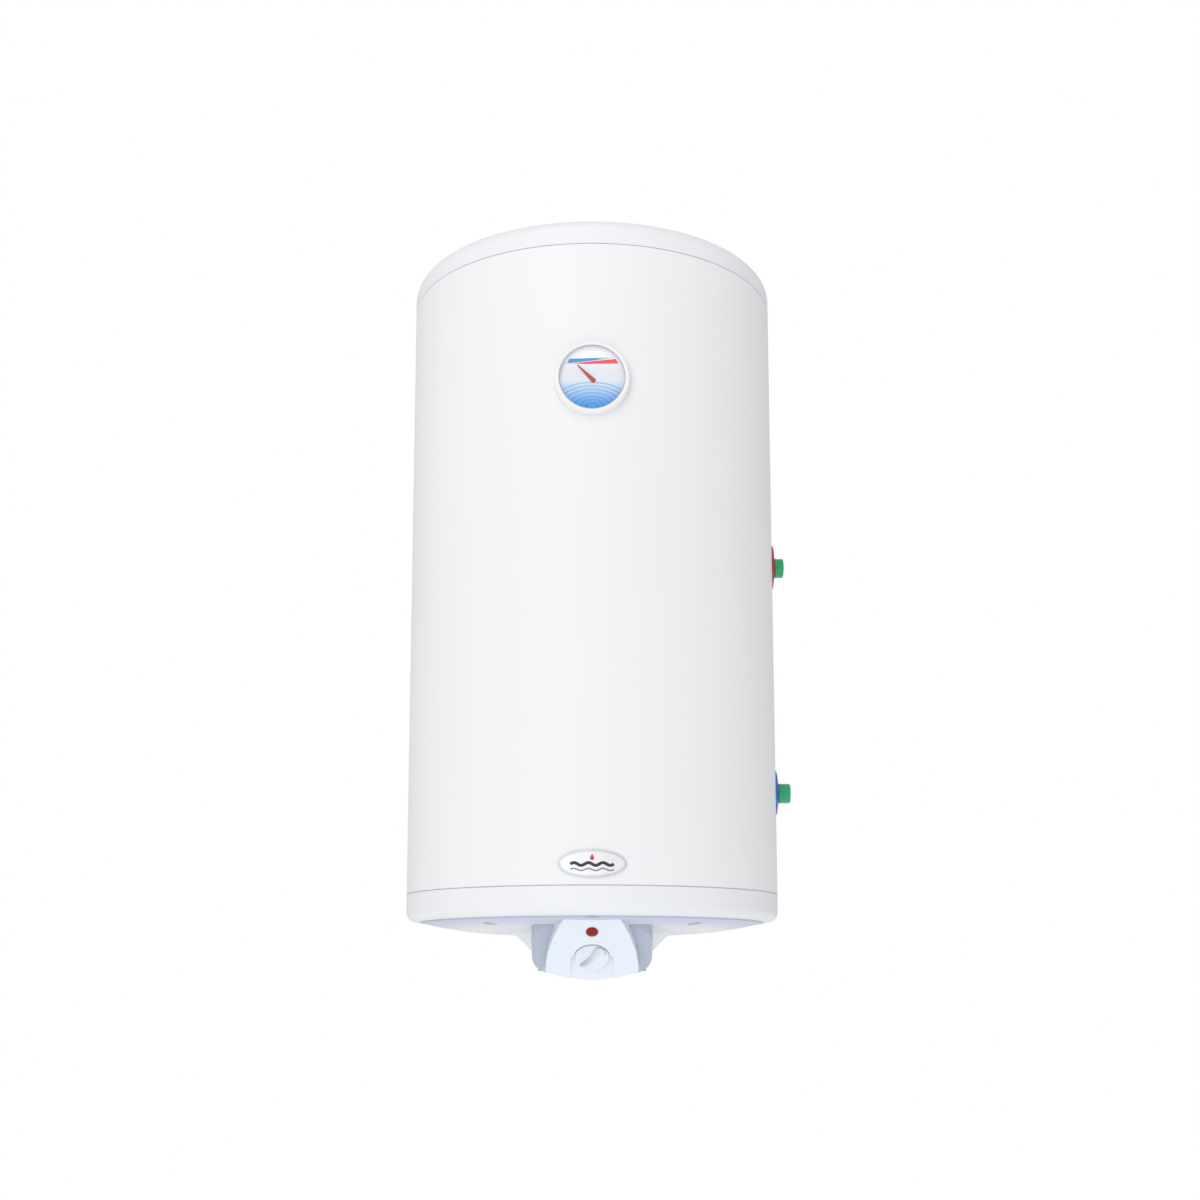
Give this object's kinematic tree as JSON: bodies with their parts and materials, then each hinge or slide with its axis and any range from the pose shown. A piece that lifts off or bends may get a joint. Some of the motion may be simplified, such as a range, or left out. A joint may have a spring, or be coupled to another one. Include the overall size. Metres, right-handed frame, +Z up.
{
  "type": "storage water heater",
  "caption": "Wall-hung cylindrical storage water heater with a front thermometer, a sloping control nose underneath and capped water connections.",
  "frame": {"origin": "centre of the two wall-bolt holes, on the wall plane", "axes": "+Z up, +Y into the wall, so the front faces -Y; +X is the side with the coil connections"},
  "size_m": [0.475, 0.4751, 0.8923],
  "materials": {
    "enamel": "gloss",
    "cover_plastic": "satin",
    "fascia_plastic": "gloss",
    "housing_plastic": "satin",
    "steel": "satin",
    "tank_enamel": "gloss",
    "magnesium": "matte",
    "copper": "satin",
    "brass": "satin",
    "ceramic": "matte",
    "insulation": "matte",
    "black_plastic": "matte",
    "gasket_rubber": "matte",
    "wire_plastic": "satin",
    "cap_green": "satin",
    "cold_blue": "satin",
    "hot_red": "satin",
    "lens_red": "gloss",
    "dial_print": "satin",
    "pointer_red": "satin",
    "clear_window": "gloss",
    "badge_plate": "satin",
    "label_film": "satin"
  },
  "bodies": {
    "heater": {"outer_casing": "enamel", "top_cover": "cover_plastic", "bottom_cover": "cover_plastic", "cover_screws": "steel", "cover_anchors": "black_plastic", "insulation_foam": "insulation", "tank_shell": "tank_enamel", "tank_top_head": "tank_enamel", "tank_bottom_head": "tank_enamel", "tank_neck": "tank_enamel", "flange_gasket": "gasket_rubber", "flange_plate": "steel", "flange_fasteners": "steel", "heating_element": "copper", "element_terminals": "ceramic", "thermometer_well": "brass", "anode_rod": "magnesium", "anode_nut": "steel", "earth_screw": "brass", "cold_inlet_pipe": "steel", "inlet_diffuser": "cover_plastic", "hot_outlet_pipe": "steel", "hot_standpipe": "steel", "cold_rosette": "cold_blue", "hot_rosette": "hot_red", "heating_coil": "tank_enamel", "upper_coil_stub": "steel", "lower_coil_stub": "steel", "upper_port_rosette": "hot_red", "lower_port_rosette": "cold_blue", "wall_bracket": "steel", "bracket_bosses": "tank_enamel", "bracket_bolts": "steel", "lower_spacers": "black_plastic", "gauge_bezel": "enamel", "gauge_glass": "clear_window", "gauge_dial": "dial_print", "gauge_case": "black_plastic", "gauge_capillary": "copper", "badge": "badge_plate", "rating_label": "label_film", "control_housing": "housing_plastic", "control_fascia": "fascia_plastic", "housing_screws": "steel", "pilot_lens": "lens_red", "pilot_lamp": "cover_plastic", "thermostat": "black_plastic", "thermostat_bulb": "copper", "thermal_cutout": "black_plastic", "terminal_block": "cover_plastic", "internal_wiring": "wire_plastic", "cable_gland": "black_plastic"},
    "knob": {"control_knob": "fascia_plastic", "knob_shaft": "brass"},
    "pointer": {"gauge_pointer": "pointer_red"},
    "reset": {"reset_button": "hot_red"},
    "cold_cap": {"cold_pipe_cap": "cap_green"},
    "hot_cap": {"hot_pipe_cap": "cap_green"},
    "upper_cap": {"upper_port_cap": "cap_green"},
    "lower_cap": {"lower_port_cap": "cap_green"}
  },
  "joints": [
    {"name": "knob_turn", "type": "hinge", "parent": "heater", "child": "knob", "pos_m": [0, -0.38974, -0.6645], "axis": [0, -0.7986, -0.6018], "range_deg": [-180, 90]},
    {"name": "pointer_turn", "type": "hinge", "parent": "heater", "child": "pointer", "pos_m": [0, -0.47, -0.0099], "axis": [0, 1, 0], "range_deg": [-11, 92]},
    {"name": "reset_press", "type": "slide", "parent": "heater", "child": "reset", "axis": [0, 0, 1], "range_m": [0, 0.002], "stiffness_N_per_m": 300, "springref_m": -0.002},
    {"name": "cold_cap_pull", "type": "slide", "parent": "heater", "child": "cold_cap", "axis": [0, 0, -1], "range_m": [0, 0.025]},
    {"name": "hot_cap_pull", "type": "slide", "parent": "heater", "child": "hot_cap", "axis": [0, 0, -1], "range_m": [0, 0.025]},
    {"name": "upper_cap_pull", "type": "slide", "parent": "heater", "child": "upper_cap", "axis": [1, 0, 0], "range_m": [0, 0.025]},
    {"name": "lower_cap_pull", "type": "slide", "parent": "heater", "child": "lower_cap", "axis": [1, 0, 0], "range_m": [0, 0.025]}
  ]
}
